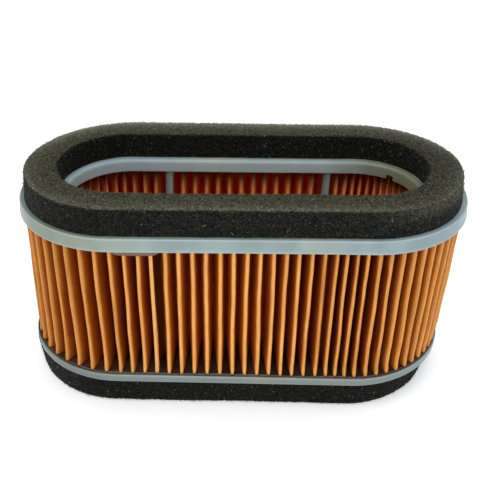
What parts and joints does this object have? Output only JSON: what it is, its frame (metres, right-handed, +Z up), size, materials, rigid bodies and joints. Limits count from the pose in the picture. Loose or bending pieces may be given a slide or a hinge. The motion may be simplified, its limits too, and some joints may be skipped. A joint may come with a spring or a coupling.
{
  "type": "oval pleated air filter element",
  "caption": "Racetrack-shaped pleated paper air filter element, potted between two moulded frames with a foam sealing gasket on each face.",
  "frame": {"origin": "under the middle of the lower foam gasket, on the plane that the element rests on", "axes": "+X along the element's long axis, +Y across its narrow axis, +Z up through the central opening from the lower gasket to the upper one"},
  "size_m": [0.2, 0.0934, 0.1045],
  "materials": {
    "gasket_foam": "matte",
    "gasket_adhesive": "satin",
    "frame_plastic": "satin",
    "potting_compound": "satin",
    "filter_paper": "matte",
    "seam_glue": "satin"
  },
  "bodies": {
    "element": {"upper_gasket_adhesive": "gasket_adhesive", "upper_frame": "frame_plastic", "upper_potting": "potting_compound", "pleated_paper": "filter_paper", "paper_seam_glue": "seam_glue", "post_front_left": "frame_plastic", "post_front_right": "frame_plastic", "post_rear_left": "frame_plastic", "post_rear_right": "frame_plastic", "lower_potting": "potting_compound", "lower_frame": "frame_plastic", "lower_gasket_adhesive": "gasket_adhesive"},
    "upper_gasket": {"upper_foam_gasket": "gasket_foam"},
    "lower_gasket": {"lower_foam_gasket": "gasket_foam"}
  },
  "joints": [
    {"name": "upper_gasket_squeeze", "type": "slide", "parent": "element", "child": "upper_gasket", "axis": [0, 0, -1], "range_m": [0, 0.0044], "stiffness_N_per_m": 7000, "deforming": ["upper_foam_gasket"]},
    {"name": "lower_gasket_squeeze", "type": "slide", "parent": "element", "child": "lower_gasket", "axis": [0, 0, 1], "range_m": [0, 0.0044], "stiffness_N_per_m": 7000, "deforming": ["lower_foam_gasket"]}
  ]
}
